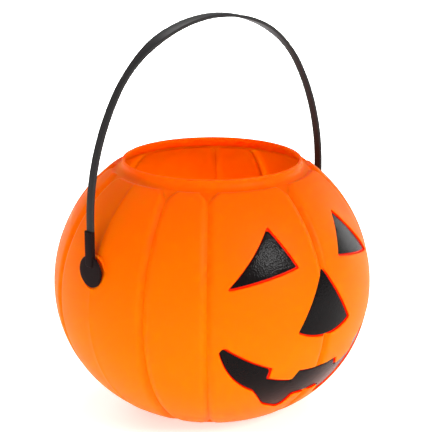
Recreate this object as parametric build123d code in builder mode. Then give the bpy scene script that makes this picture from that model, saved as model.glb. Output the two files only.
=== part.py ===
from build123d import *
import os
from math import asin, atan2, cos, degrees, radians, sin, sqrt

# Pumpkin candy pail: a lobed moulded pail with a recessed jack-o'-lantern face filled in black,
# and a strap handle that swings on two snap-in ends.
# Millimetres, +Z up, origin on the table under the middle of the base. The face looks along -Y and
# the handle swings about the line along X through its two ends.

# Pail
pail_height = 168.0
belly_radius = 105.0
belly_height = 84.0
foot_radius = 44.4
mouth_radius = 57.0
wall = 1.6
collar_height = 5.0
collar_spread = 6.0
lobe_shoulder_radius = 2.0
lip_rounding = 0.6
foot_width = 8.0
foot_rise = 3.0
foot_rounding = 1.2

# Grooves between the lobes: the angles run from the middle of the face to the back, on both sides
groove_angles = (0.0, 45.0, 67.5, 112.5, 135.0, 180.0)
groove_half_width = 5.5
groove_depth = 2.4
groove_vee_depth = 3.0
groove_run_out_angle = 6.0

# Face: recesses in the front wall, with a black inlay on the floor of each
recess_depth = 2.6
inlay_margin = 0.6
inlay_thickness = 0.5

# Eyes: the tip stands above the outer corner, and the inner corner is the higher of the lower two
eye_inner_x = 17.6
eye_width = 45.6
eye_outer_height = 109.4
eye_inner_rise = 9.4
eye_tip_rise = 34.2
eye_tip_in = 10.9
eye_tip_rounding = 1.0
eye_inner_rounding = 1.2
eye_outer_rounding = 1.2

# Nose
nose_width = 46.4
nose_corner_height = 79.0
nose_rise = 38.0
nose_sag = 6.0
nose_rounding = 1.4

# Mouth: the upper lip is an arc, and the depths run down from it, away from the arc's centre
smile_center_height = 150.7
smile_radius = 100.0
smile_end_x = 65.9
smile_tip_out = 2.1
smile_tip_depth = 4.4
cheek_x = 59.6
cheek_depth = 13.3
step_x = 43.4
step_depth = 17.9
slope_x = 31.0
slope_depth = 27.1
pocket_x = 14.2
pocket_depth = 31.3
upper_tooth_inner_x = 16.6
upper_tooth_width = 20.4
upper_tooth_length = 7.0
upper_tooth_narrowing = 3.4
lower_tooth_half_width = 11.6
lower_tooth_depth = 20.0
tooth_rounding = 1.4
smile_rounding = 2.2
step_rounding = 7.0
slope_rounding = 16.0
pocket_rounding = 5.0

# Handle pivots: flat bosses in the wall that the handle's ends snap through
pivot_height = 112.7
boss_radius = 9.8
boss_sink = 0.8
boss_thickness = 2.5
spot_face_radius = 8.0
snap_face_radius = 6.4
running_gap = 0.05
end_gap = 0.3
seat_gap = 1.0

# Handle ends: a button disc, a shoulder and a slit snap peg behind it, and a sleeve above it
disc_radius = 10.2
disc_thickness = 1.4
disc_rounding = 0.8
shoulder_radius = 7.0
shoulder_length = 2.3
peg_radius = 4.0
snap_head_radius = 5.0
snap_head_length = 3.6
snap_tip_radius = 3.4
snap_slit = 1.8
sleeve_top_rise = 26.0
sleeve_foot_rise = 3.0
sleeve_foot_rounding = 2.0
sleeve_width = 6.6
sleeve_inner_step = 0.6
sleeve_outer_step = 1.5
sleeve_rounding = 0.7

# Handle strap: a flat arch, wider along the grip, with a tenon in the sleeve at each foot
strap_set = 0.3
strap_thickness = 2.2
strap_width = 5.9
strap_rounding = 0.7
grip_width = 10.8
grip_half_length = 46.0
grip_flare = 14.0
flare_rounding = 20.0
handle_rise = 148.0
crown_radius_share = 1.05
arm_radius_share = 0.82
crown_angle = 24.0
leg_angle = 58.0
tenon_length = 12.0
tenon_width = 3.8
tenon_thickness = 1.0
socket_gap = 0.05

# Every cutter runs this far past the face that it cuts
overrun = 4.0

# The belly is two arcs that are upright at the widest line: one down to the foot, one up to the collar
lobe_top_height = pail_height - collar_height
lobe_top_radius = mouth_radius + wall + collar_spread
floor_height = foot_rise + wall
lower_reach = belly_radius - foot_radius
upper_reach = belly_radius - lobe_top_radius
upper_rise = lobe_top_height - belly_height
lower_curve_radius = (lower_reach**2 + belly_height**2) / (2 * lower_reach)
upper_curve_radius = (upper_reach**2 + upper_rise**2) / (2 * upper_reach)
lower_center = belly_radius - lower_curve_radius
upper_center = belly_radius - upper_curve_radius
foot_angle = degrees(asin(belly_height / lower_curve_radius))
lobe_top_angle = degrees(asin(upper_rise / upper_curve_radius))

# Places along X at the pivots, from the inside of the wall outwards
wall_at_pivot = upper_center + sqrt(upper_curve_radius**2 - (pivot_height - belly_height) ** 2)
boss_face_x = wall_at_pivot - boss_sink
boss_inner_x = boss_face_x - boss_thickness
snap_face_x = boss_inner_x - end_gap
disc_inner_x = boss_face_x + end_gap + shoulder_length
strap_middle_x = disc_inner_x - strap_set
sleeve_inner_x = strap_middle_x - strap_thickness / 2 + sleeve_inner_step
sleeve_outer_x = strap_middle_x + strap_thickness / 2 + sleeve_outer_step
tenon_middle_x = strap_middle_x + (strap_thickness - tenon_thickness) / 2

# The handle's arch: a crown arc, two arms and two legs, tangent to each other and upright at the feet
crown_radius = crown_radius_share * strap_middle_x
arm_radius = arm_radius_share * strap_middle_x
crown_reach = crown_radius * sin(radians(crown_angle))
arm_reach = arm_radius * (sin(radians(leg_angle)) - sin(radians(crown_angle)))
leg_radius = (strap_middle_x - crown_reach - arm_reach) / (1 - sin(radians(leg_angle)))
crown_drop = crown_radius * (1 - cos(radians(crown_angle)))
arm_drop = arm_radius * (cos(radians(crown_angle)) - cos(radians(leg_angle)))
leg_drop = leg_radius * cos(radians(leg_angle))
handle_top = pivot_height + handle_rise
leg_top = handle_top - crown_drop - arm_drop - leg_drop
sleeve_foot = pivot_height + sleeve_foot_rise
sleeve_top = pivot_height + sleeve_top_rise


def belly_lines(inset):
    """The belly's side as two arcs, set in from the lobes' crowns, with its foot and top points."""
    lower = CenterArc((lower_center, belly_height), lower_curve_radius - inset, -foot_angle, foot_angle)
    upper = CenterArc((upper_center, belly_height), upper_curve_radius - inset, 0, lobe_top_angle)
    return lower @ 0, upper @ 1


def plain_body(inset):
    """The belly without grooves, set in from the lobes' crowns, up to the lobes' tops."""
    with BuildPart() as body:
        with BuildSketch(Plane.XZ):
            with BuildLine():
                foot, top = belly_lines(inset)
                Polyline(top, (0, top.Y), (0, foot.Y), foot)
            make_face()
        revolve(axis=Axis.Z)
    return body.part


def groove_cutter(inset):
    """One groove's cutter at the +X side: two rounded flanks that meet in a vee, run round the belly."""
    surface = belly_radius - inset
    flank_radius = (groove_half_width**2 + groove_vee_depth**2) / (2 * groove_vee_depth)
    flank_angle = degrees(atan2(groove_half_width, flank_radius - groove_vee_depth))
    flank_center = (surface - flank_radius, groove_half_width)
    with BuildPart() as cutter:
        with BuildSketch(Plane.XY.offset(belly_height)) as section:
            with BuildLine():
                flank = CenterArc(flank_center, flank_radius, -flank_angle, flank_angle)
                Polyline(flank @ 1, (surface + overrun, groove_half_width), (surface + overrun, 0))
                mirror(about=Plane.XZ)
            make_face()
        lower_axis = Axis((lower_center, 0, belly_height), (0, 1, 0))
        upper_axis = Axis((upper_center, 0, belly_height), (0, -1, 0))
        revolve(section.sketch, axis=lower_axis, revolution_arc=foot_angle + groove_run_out_angle)
        revolve(section.sketch, axis=upper_axis, revolution_arc=lobe_top_angle + groove_run_out_angle)
    return cutter.part


def lobed_body(inset, rise):
    """The lobed pumpkin form with its collar, set in from the outside, up to a rise above the lip."""
    cutter = groove_cutter(inset)
    turns = {turn % 360 for angle in groove_angles for turn in (angle, -angle)}
    lip = mouth_radius + wall - inset
    rim = [(lip, pail_height), (lip, pail_height + rise)] if rise else [(lip, pail_height)]
    with BuildPart() as body:
        with BuildSketch(Plane.XZ) as lobes:
            with BuildLine():
                foot, top = belly_lines(inset)
                inwards = (Vector(upper_center, belly_height) - top).normalized()
                step_foot = top + inwards * (groove_depth + overrun)
                Polyline(top, step_foot, (0, step_foot.Y), (0, foot.Y), foot)
            make_face()
            fillet(lobes.vertices().sort_by(Axis.Y)[-1], lobe_shoulder_radius)
        revolve(axis=Axis.Z)
        for turn in sorted(turns):
            add(cutter, rotation=(0, 0, turn - 90), mode=Mode.SUBTRACT)
        with BuildSketch(Plane.XZ):
            with BuildLine():
                foot, top = belly_lines(inset + groove_depth)
                Polyline(top, *rim, (0, pail_height + rise), (0, 0), (foot.X, 0), foot)
            make_face()
        revolve(axis=Axis.Z)
    return body.part


def eye_outline(side):
    """A leaning triangle with soft corners, on the side given by a sign."""
    inner = (side * eye_inner_x, eye_outer_height + eye_inner_rise)
    tip = (side * (eye_inner_x + eye_tip_in), eye_outer_height + eye_tip_rise)
    outer = (side * (eye_inner_x + eye_width), eye_outer_height)
    roundings = ((inner, eye_inner_rounding), (tip, eye_tip_rounding), (outer, eye_outer_rounding))
    with BuildSketch() as eye:
        with BuildLine():
            Polyline(inner, tip, outer, close=True)
        make_face()
        for corner, rounding in roundings:
            fillet(eye.vertices().sort_by_distance((*corner, 0))[0], rounding)
    return eye.sketch


def nose_outline():
    """A tall triangle on a sagging base."""
    with BuildSketch() as nose:
        with BuildLine():
            base = ThreePointArc(
                (-nose_width / 2, nose_corner_height),
                (0, nose_corner_height - nose_sag),
                (nose_width / 2, nose_corner_height),
            )
            Polyline(base @ 1, (0, nose_corner_height + nose_rise), base @ 0)
        make_face()
        fillet(nose.vertices(), nose_rounding)
    return nose.sketch


def smile_point(depth, x):
    """Point of the mouth at a depth below the arc of the upper lip."""
    return (x, smile_center_height - sqrt((smile_radius + depth) ** 2 - x**2))


def smile_arc(depth, start_x, end_x):
    """Arc of the mouth at a depth below the upper lip, from one x to another."""
    middle_x = (start_x + end_x) / 2
    return ThreePointArc(smile_point(depth, start_x), smile_point(depth, middle_x), smile_point(depth, end_x))


def mouth_outline():
    """A wide grin with two upper teeth and one lower tooth, alike on both sides."""
    upper_tooth_outer_x = upper_tooth_inner_x + upper_tooth_width
    upper_tooth_corner_x = upper_tooth_inner_x + upper_tooth_narrowing
    lip_end = smile_point(0, smile_end_x)
    tip = smile_point(smile_tip_depth, smile_end_x + smile_tip_out)
    cheek = smile_point(cheek_depth, cheek_x)
    step = smile_point(step_depth, step_x)
    slope = smile_point(slope_depth, slope_x)
    pocket = smile_point(pocket_depth, pocket_x)
    lower_corner = smile_point(lower_tooth_depth, lower_tooth_half_width)
    roundings = (
        (lip_end, smile_rounding),
        (tip, smile_rounding),
        (pocket, pocket_rounding),
        (smile_point(0, upper_tooth_inner_x), tooth_rounding),
        (smile_point(upper_tooth_length, upper_tooth_corner_x), tooth_rounding),
        (lower_corner, tooth_rounding),
        (step, step_rounding),
        (slope, slope_rounding),
    )
    with BuildSketch() as mouth:
        with BuildLine():
            gum = smile_arc(0, 0, upper_tooth_inner_x)
            tooth = smile_arc(upper_tooth_length, upper_tooth_corner_x, upper_tooth_outer_x)
            lip = smile_arc(0, upper_tooth_outer_x, smile_end_x)
            Line(gum @ 1, tooth @ 0)
            Line(tooth @ 1, lip @ 0)
            Line(lip @ 1, tip)
            ThreePointArc(tip, cheek, step)
            Polyline(step, slope, pocket, lower_corner)
            smile_arc(lower_tooth_depth, lower_tooth_half_width, 0)
            mirror(about=Plane.YZ)
        make_face()
        for (x, y), rounding in roundings:
            for side in (-1, 1):
                fillet(mouth.vertices().sort_by_distance((side * x, y, 0))[0], rounding)
    return mouth.sketch


def face_block(outline, growth, inset):
    """A face outline grown by a margin and run out through the front wall, down to an inset belly."""
    floor = plain_body(inset)
    with BuildPart() as block:
        with BuildSketch(Plane.XZ):
            add(outline)
            if growth:
                offset(amount=growth)
        extrude(amount=belly_radius + overrun)
        add(floor, mode=Mode.SUBTRACT)
    return block.part


outlines = {
    "left_eye_inlay": eye_outline(-1),
    "right_eye_inlay": eye_outline(1),
    "nose_inlay": nose_outline(),
    "mouth_inlay": mouth_outline(),
}

# Cavity: the lobed form set in by the wall, less a pad behind each recess
with BuildPart() as cavity:
    add(lobed_body(wall, overrun))
    split(bisect_by=Plane.XY.offset(floor_height), keep=Keep.TOP)
    for outline in outlines.values():
        add(face_block(outline, wall, recess_depth + wall), mode=Mode.SUBTRACT)

# Round steps of a pivot in the wall: radius, start along X, depth outwards, and added or cut
pivot_steps = (
    (boss_radius, boss_inner_x, boss_thickness, Mode.ADD),
    (spot_face_radius, boss_face_x, belly_radius, Mode.SUBTRACT),
    (disc_radius + seat_gap, disc_inner_x - end_gap, belly_radius, Mode.SUBTRACT),
    (snap_face_radius, boss_inner_x, -snap_head_length - overrun, Mode.SUBTRACT),
    (peg_radius + running_gap, boss_inner_x, boss_thickness, Mode.SUBTRACT),
)

# Shell: the lobed form with the face let in, hollowed, on a ring foot, with a pivot on each side
with BuildPart() as pail_shell:
    add(lobed_body(0, 0))
    for outline in outlines.values():
        add(face_block(outline, 0, recess_depth), mode=Mode.SUBTRACT)
    add(cavity.part, mode=Mode.SUBTRACT)
    fillet(pail_shell.edges().group_by(Axis.Z)[-1], lip_rounding)
    with BuildSketch(Plane.XY):
        Circle(foot_radius - foot_width)
    hollow = extrude(amount=foot_rise, mode=Mode.SUBTRACT)
    foot_edge = pail_shell.edges().filter_by(GeomType.CIRCLE).filter_by_position(Axis.Z, 0, 0)
    fillet(foot_edge.sort_by(SortBy.RADIUS)[0], foot_rounding)
    for outward in (1, -1):
        pivot = Plane(origin=(0, 0, pivot_height), x_dir=(0, 1, 0), z_dir=(outward, 0, 0))
        for radius, start, depth, mode in pivot_steps:
            with BuildSketch(pivot.offset(start)):
                Circle(radius)
            extrude(amount=depth, mode=mode)

# Black inlays: each recess's outline drawn in by a margin, laid on the floor of the recess
inlays = {}
for name, outline in outlines.items():
    with BuildPart() as inlay:
        add(face_block(outline, -inlay_margin, recess_depth))
        add(plain_body(recess_depth - inlay_thickness), mode=Mode.INTERSECT)
    inlays[name] = inlay.part


def arch_lines(shift):
    """One face of the strap from the left foot to the right, at a shift from the strap's middle."""
    left_leg = Line((-strap_middle_x - shift, sleeve_top), (-strap_middle_x - shift, leg_top))
    left_bend = JernArc(left_leg @ 1, left_leg % 1, leg_radius + shift, leg_angle - 90)
    left_arm = JernArc(left_bend @ 1, left_bend % 1, arm_radius + shift, crown_angle - leg_angle)
    crown = JernArc(left_arm @ 1, left_arm % 1, crown_radius + shift, -2 * crown_angle)
    right_arm = JernArc(crown @ 1, crown % 1, arm_radius + shift, crown_angle - leg_angle)
    right_bend = JernArc(right_arm @ 1, right_arm % 1, leg_radius + shift, leg_angle - 90)
    right_leg = Line(right_bend @ 1, (strap_middle_x + shift, sleeve_top))
    return left_leg @ 0, right_leg @ 1


# Strap: the arch as wide as the grip, trimmed to its plan, with soft edges and two tenons
with BuildPart() as handle_strap:
    with BuildSketch(Plane.XZ):
        with BuildLine():
            outer_left, outer_right = arch_lines(strap_thickness / 2)
            inner_left, inner_right = arch_lines(-strap_thickness / 2)
            Line(outer_left, inner_left)
            Line(outer_right, inner_right)
        make_face()
    extrude(amount=grip_width / 2, both=True)
    plan_end = strap_middle_x + overrun
    with BuildSketch(Plane.XY) as plan:
        with BuildLine():
            Polyline(
                (0, grip_width / 2),
                (grip_half_length, grip_width / 2),
                (grip_half_length + grip_flare, strap_width / 2),
                (plan_end, strap_width / 2),
                (plan_end, 0),
            )
            mirror(about=Plane.XZ)
            mirror(about=Plane.YZ)
        make_face()
        flare_corners = plan.vertices().filter_by(lambda corner: 0 < abs(corner.X) < strap_middle_x)
        fillet(flare_corners, flare_rounding)
    extrude(amount=handle_top + overrun, mode=Mode.INTERSECT)
    long_edges = handle_strap.edges().filter_by(Axis.Y, reverse=True)
    fillet(long_edges.filter_by(lambda edge: edge.length > 2 * strap_thickness), strap_rounding)
    with Locations((-tenon_middle_x, 0, sleeve_top), (tenon_middle_x, 0, sleeve_top)):
        Box(tenon_thickness, tenon_width, tenon_length, align=(Align.CENTER, Align.CENTER, Align.MAX))

# Right handle end: a sleeve for the strap's tenon, run down on to a turned button with its snap peg
with BuildPart() as right_handle_end:
    with BuildSketch(Plane.YZ.offset(sleeve_inner_x)) as sleeve:
        with Locations((0, (sleeve_top + sleeve_foot) / 2)):
            Rectangle(sleeve_width, sleeve_top - sleeve_foot)
        fillet(sleeve.vertices().group_by(Axis.Y)[0], sleeve_foot_rounding)
    extrude(amount=sleeve_outer_x - sleeve_inner_x)
    top_edges = right_handle_end.edges().filter_by(Axis.Y).group_by(Axis.Z)[-1]
    fillet(right_handle_end.edges().filter_by(Axis.Z) + top_edges.sort_by(Axis.X)[-1:], sleeve_rounding)
    with BuildSketch(Plane.XZ) as button:
        with BuildLine():
            Polyline(
                (disc_inner_x + disc_thickness, pivot_height),
                (disc_inner_x + disc_thickness, pivot_height + disc_radius),
                (disc_inner_x, pivot_height + disc_radius),
                (disc_inner_x, pivot_height + shoulder_radius),
                (boss_face_x + end_gap, pivot_height + shoulder_radius),
                (boss_face_x + end_gap, pivot_height + peg_radius),
                (snap_face_x, pivot_height + peg_radius),
                (snap_face_x, pivot_height + snap_head_radius),
                (snap_face_x - snap_head_length, pivot_height + snap_tip_radius),
                (snap_face_x - snap_head_length, pivot_height),
                close=True,
            )
        make_face()
        rim_corner = (disc_inner_x + disc_thickness, pivot_height + disc_radius, 0)
        fillet(button.vertices().sort_by_distance(rim_corner)[0], disc_rounding)
    revolve(axis=Axis((0, 0, pivot_height), (1, 0, 0)))
    with Locations((boss_face_x, 0, pivot_height)):
        Box(
            boss_face_x,
            snap_slit,
            2 * snap_head_radius + overrun,
            align=(Align.MAX, Align.CENTER, Align.CENTER),
            mode=Mode.SUBTRACT,
        )
    with Locations((tenon_middle_x, 0, sleeve_top)):
        Box(
            tenon_thickness + 2 * socket_gap,
            tenon_width + 2 * socket_gap,
            tenon_length + socket_gap,
            align=(Align.CENTER, Align.CENTER, Align.MAX),
            mode=Mode.SUBTRACT,
        )

with BuildPart() as left_handle_end:
    mirror(right_handle_end.part, about=Plane.YZ)

pieces = {
    "pail_shell": pail_shell.part,
    **inlays,
    "handle_strap": handle_strap.part,
    "left_handle_end": left_handle_end.part,
    "right_handle_end": right_handle_end.part,
}
os.makedirs("parts", exist_ok=True)
for name, piece in pieces.items():
    piece.label = name
    export_step(piece, f"parts/{name}.step")
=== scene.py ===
"""Dresses the pumpkin candy pail: the moulded shell, the black face and the swinging strap handle."""

import logging
import math
from collections.abc import Callable
from dataclasses import dataclass, field
from enum import Enum

import bpy
import numpy as np
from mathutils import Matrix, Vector


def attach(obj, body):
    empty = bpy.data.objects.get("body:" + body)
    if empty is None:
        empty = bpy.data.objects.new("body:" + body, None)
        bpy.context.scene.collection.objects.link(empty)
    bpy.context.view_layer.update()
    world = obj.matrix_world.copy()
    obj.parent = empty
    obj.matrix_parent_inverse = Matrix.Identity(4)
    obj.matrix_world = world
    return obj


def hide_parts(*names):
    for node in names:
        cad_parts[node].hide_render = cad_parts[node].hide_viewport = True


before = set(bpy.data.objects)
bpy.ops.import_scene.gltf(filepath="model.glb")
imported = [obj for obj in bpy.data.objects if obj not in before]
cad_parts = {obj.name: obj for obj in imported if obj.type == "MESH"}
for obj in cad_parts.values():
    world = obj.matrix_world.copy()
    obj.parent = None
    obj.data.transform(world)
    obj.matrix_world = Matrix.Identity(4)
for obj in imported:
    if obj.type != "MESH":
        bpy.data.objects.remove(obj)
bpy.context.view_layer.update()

MM = 0.001
MERGE_DISTANCE = 0.002 * MM
SLIVER_WIDTH = 0.055 * MM
# How near in millimetres a vertex lies to the surface, the line or the top row that it belongs to
ON_SURFACE = 0.02
ON_LINE = 0.01
ON_TOP_ROW = 0.001
# The same in degrees round the pail's axis, for a groove's edge and for the middle of a parting line
ON_EDGE_ANGLE = 1e-4
ON_SEAM_ANGLE = 0.02
# Digits of a millimetre by which a spot of a plate's edge is found again
SPOT_DIGITS = 3
# Smallest square of a length that shares of it are worked out from
LEAST_SQUARE = 1e-12
# Share of a move that each point of a moved outline keeps from the old line, or else it is in a loop
UNLOOPED_SHARE = 0.999
# Parts of an edge's direction by which it counts as running along an axis, and as running across it
ALONG_SHARE = 0.9
ACROSS_SHARE = 0.1

log = logging.getLogger("candy_pail")

Point = tuple[float, float]


class Body(Enum):
    """The bodies that pieces ride on."""

    PAIL = "pail"
    HANDLE = "handle"


class Slot(Enum):
    """The record's material slots."""

    PAIL = "pail_orange"
    FACE = "face_black"
    STRAP = "strap_black"
    END = "end_black"


class Cut(Enum):
    """What a boolean does with the tool."""

    ADD = "UNION"
    REMOVE = "DIFFERENCE"


class ShellFace(Enum):
    """The shell's faces by how they were made, as material places while it is cut."""

    MOULDED = 0
    RECESS_LIP = 1
    RECESS_FLOOR = 2
    INSIDE = 3


def linear(code: str) -> tuple[float, float, float, float]:
    """Turns an sRGB hex colour into the linear colour of a socket.

    Args:
        code: six hex digits after a hash sign.

    Returns:
        Linear red, green and blue, and an alpha of one.
    """
    parts = [int(code[start:start + 2], 16) / 255 for start in (1, 3, 5)]
    red, green, blue = (
        part / 12.92 if part <= 0.04045 else ((part + 0.055) / 1.055) ** 2.4 for part in parts
    )
    return red, green, blue, 1.0


def per_metre(size_mm: float) -> float:
    """Texture scale that gives a pattern of a real size in millimetres."""
    return 1 / (size_mm * MM)


def add_node(
    tree: bpy.types.NodeTree, kind: str, inputs: dict[str | int, object] | None = None, **settings: object
) -> bpy.types.Node:
    """Adds a node with its settings and links.

    Args:
        tree: the material's or world's node tree.
        kind: the node's type.
        inputs: values or output sockets by the name or place of the input.
        settings: the node's own properties.

    Returns:
        The new node.
    """
    node = tree.nodes.new(kind)
    for name, value in settings.items():
        setattr(node, name, value)
    for name, value in (inputs or {}).items():
        if isinstance(value, bpy.types.NodeSocket):
            tree.links.new(value, node.inputs[name])
        else:
            node.inputs[name].default_value = value
    return node


def new_material(name: str) -> bpy.types.Material:
    """Makes a material with nodes.

    Args:
        name: what it is in the real thing.

    Returns:
        The material.
    """
    material = bpy.data.materials.new(name)
    material.use_nodes = True
    return material


def set_shader(
    material: bpy.types.Material, links: dict[str, bpy.types.NodeSocket], values: dict[str, object]
) -> None:
    """Links patterns to a material's shader and sets what is the same all over on the shader itself.

    Args:
        material: the material.
        links: output sockets by the shader's inputs.
        values: constant values by the shader's inputs.
    """
    shader = material.node_tree.nodes["Principled BSDF"]
    for name, socket in links.items():
        material.node_tree.links.new(socket, shader.inputs[name])
    for name, value in values.items():
        shader.inputs[name].default_value = value


def deselect() -> None:
    """Leaves edit mode and deselects every object."""
    if bpy.context.object and bpy.context.object.mode != "OBJECT":
        bpy.ops.object.mode_set(mode="OBJECT")
    bpy.ops.object.select_all(action="DESELECT")


def activate(obj: bpy.types.Object) -> None:
    """Makes one object the only selected one and the active one.

    Args:
        obj: the object.
    """
    deselect()
    obj.select_set(True)
    bpy.context.view_layer.objects.active = obj


def edit(obj: bpy.types.Object) -> None:
    """Opens one object in edit mode with all of it selected.

    Args:
        obj: the object.
    """
    activate(obj)
    bpy.ops.object.mode_set(mode="EDIT")
    bpy.ops.mesh.select_all(action="SELECT")


def coordinates(obj: bpy.types.Object) -> np.ndarray:
    """Reads the vertices of a mesh.

    Args:
        obj: the object, out of edit mode.

    Returns:
        Places in millimetres, one row each.
    """
    flat = np.empty(len(obj.data.vertices) * 3, np.float32)
    obj.data.vertices.foreach_get("co", flat)
    return flat.reshape(-1, 3).astype(float) / MM


def place(obj: bpy.types.Object, places: np.ndarray) -> None:
    """Moves the vertices of a mesh to places in millimetres."""
    obj.data.vertices.foreach_set("co", (places * MM).astype(np.float32).ravel())
    obj.data.update()


def draw_chain(name: str, points: list[Vector], closed: bool = False) -> bpy.types.Object:
    """Extrudes a vertex from point to point into a chain of edges, and leaves it open in edit mode.

    Args:
        name: the object's name.
        points: the chain's points in millimetres.
        closed: whether the last point joins the first.

    Returns:
        The object, with the whole chain selected.
    """
    deselect()
    bpy.ops.mesh.primitive_plane_add(size=MM)
    obj = bpy.context.object
    obj.name = name
    edit(obj)
    bpy.ops.mesh.select_mode(type="VERT")
    bpy.ops.mesh.select_all(action="SELECT")
    bpy.ops.mesh.merge(type="CENTER")
    bpy.ops.transform.translate(value=points[0] * MM)
    for here, there in zip(points, points[1:]):
        bpy.ops.mesh.extrude_region_move(TRANSFORM_OT_translate={"value": (there - here) * MM})
    bpy.ops.mesh.select_all(action="SELECT")
    if closed:
        bpy.ops.mesh.edge_face_add()
        bpy.ops.mesh.delete(type="ONLY_FACE")
        bpy.ops.mesh.select_all(action="SELECT")
    return obj


def extrude_up(rise: float = 0.0) -> None:
    """Extrudes what is selected upwards by a rise in millimetres, or in place."""
    bpy.ops.mesh.extrude_region_move(TRANSFORM_OT_translate={"value": (0, 0, rise * MM)})


def close_up(obj: bpy.types.Object) -> None:
    """Merges doubled vertices and turns all faces outwards.

    Args:
        obj: a closed form, apart from its doubles.
    """
    edit(obj)
    bpy.ops.mesh.remove_doubles(threshold=MERGE_DISTANCE)
    bpy.ops.mesh.normals_make_consistent(inside=False)
    bpy.ops.object.mode_set(mode="OBJECT")


def cut(obj: bpy.types.Object, tool: bpy.types.Object, how: Cut) -> None:
    """Adds a tool's form to an object or removes it, and deletes the tool.

    Args:
        obj: the object that changes.
        tool: the closed form that changes it.
        how: whether the form is added or removed.
    """
    activate(obj)
    modifier = obj.modifiers.new(how.value, "BOOLEAN")
    modifier.operation = how.value
    modifier.solver = "MANIFOLD"
    modifier.material_mode = "INDEX"
    modifier.object = tool
    bpy.ops.object.modifier_apply(modifier=modifier.name)
    bpy.data.objects.remove(tool)


def clear_slivers(obj: bpy.types.Object) -> None:
    """Clears the slivers that cuts leave, which are too thin to see.

    Args:
        obj: the cut object.
    """
    edit(obj)
    bpy.ops.mesh.remove_doubles(threshold=SLIVER_WIDTH)
    bpy.ops.mesh.dissolve_degenerate(threshold=SLIVER_WIDTH)
    bpy.ops.object.mode_set(mode="OBJECT")


def smooth(obj: bpy.types.Object, angle: float) -> None:
    """Shades an object smooth but for edges sharper than an angle in degrees."""
    activate(obj)
    bpy.ops.object.shade_smooth_by_angle(angle=math.radians(angle))


def smooth_step(share: np.ndarray) -> np.ndarray:
    """Eases from nought to one as a share does."""
    held = np.clip(share, 0, 1)
    return held * held * (3 - 2 * held)


def finish_piece(obj: bpy.types.Object, body: Body, node: str) -> None:
    """Ties a finished piece to its body and hides the CAD node that it stands for.

    Args:
        obj: the finished piece.
        body: the body that carries it.
        node: the CAD node that it replaces.
    """
    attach(obj, body.value)
    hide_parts(node)
    log.info("%s: %d faces, for %s", obj.name, len(obj.data.polygons), node)


@dataclass(frozen=True)
class MouldedOrange:
    """Orange polyethylene from a satin mould: soft gloss, and light that soaks in and comes back warm.

    The colour deepens towards the lip: painted shade, for the dimmer light on the upper lobes. A satin
    mould's pebble is about a tenth of a millimetre, too fine to show, so it is drawn about ten times as
    coarse.
    """

    name: str = "orange polyethylene"
    colour: str = "#FF7200"
    flow_colour: str = "#FF6C00"
    painted_shade_colour: str = "#FF5C00"
    painted_shade_mm: Point = (60.0, 165.0)
    flow_mm: float = 60.0
    pebble_mm: float = 1.1
    pebble_height_mm: float = 0.012
    roughness: Point = (0.36, 0.46)
    ior: float = 1.5
    soak: float = 1.0
    soak_mm: float = 5.0
    soak_share: tuple[float, float, float] = (1.0, 0.16, 0.05)
    glint: float = 0.05

    def make(self) -> bpy.types.Material:
        """Builds the material.

        Returns:
            The material, with its pattern in real sizes.
        """
        material = new_material(self.name)
        tree = material.node_tree
        place_in = add_node(tree, "ShaderNodeTexCoord").outputs["Object"]
        flow = add_node(tree, "ShaderNodeTexNoise", {
            "Vector": place_in, "Scale": per_metre(self.flow_mm), "Detail": 3.0, "Roughness": 0.5,
        })
        body = add_node(tree, "ShaderNodeMix", {
            "Factor": flow.outputs["Fac"], "A": linear(self.colour), "B": linear(self.flow_colour),
        }, data_type="RGBA")
        # Painted shade: the colour deepens between two heights towards the lip, for the dimmer light up
        # there
        height = add_node(tree, "ShaderNodeSeparateXYZ", {"Vector": place_in})
        low, high = self.painted_shade_mm
        crown = add_node(tree, "ShaderNodeMapRange", {
            "Value": height.outputs["Z"], "From Min": low * MM, "From Max": high * MM,
        })
        colour = add_node(tree, "ShaderNodeMix", {
            "Factor": crown.outputs["Result"], "A": body.outputs["Result"], "B": linear(self.painted_shade_colour),
        }, data_type="RGBA")
        pebble = add_node(tree, "ShaderNodeTexNoise", {
            "Vector": place_in, "Scale": per_metre(self.pebble_mm), "Detail": 2.0, "Roughness": 0.5,
        })
        gloss = add_node(tree, "ShaderNodeMapRange", {
            "Value": pebble.outputs["Fac"], "To Min": self.roughness[0], "To Max": self.roughness[1],
        })
        bump = add_node(tree, "ShaderNodeBump", {
            "Height": pebble.outputs["Fac"], "Strength": 1.0, "Distance": self.pebble_height_mm * MM,
        })
        set_shader(material, {
            "Base Color": colour.outputs["Result"], "Roughness": gloss.outputs["Result"],
            "Normal": bump.outputs["Normal"],
        }, {
            "IOR": self.ior, "Specular IOR Level": self.glint, "Subsurface Weight": self.soak,
            "Subsurface Radius": self.soak_share, "Subsurface Scale": self.soak_mm * MM,
        })
        return material


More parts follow.
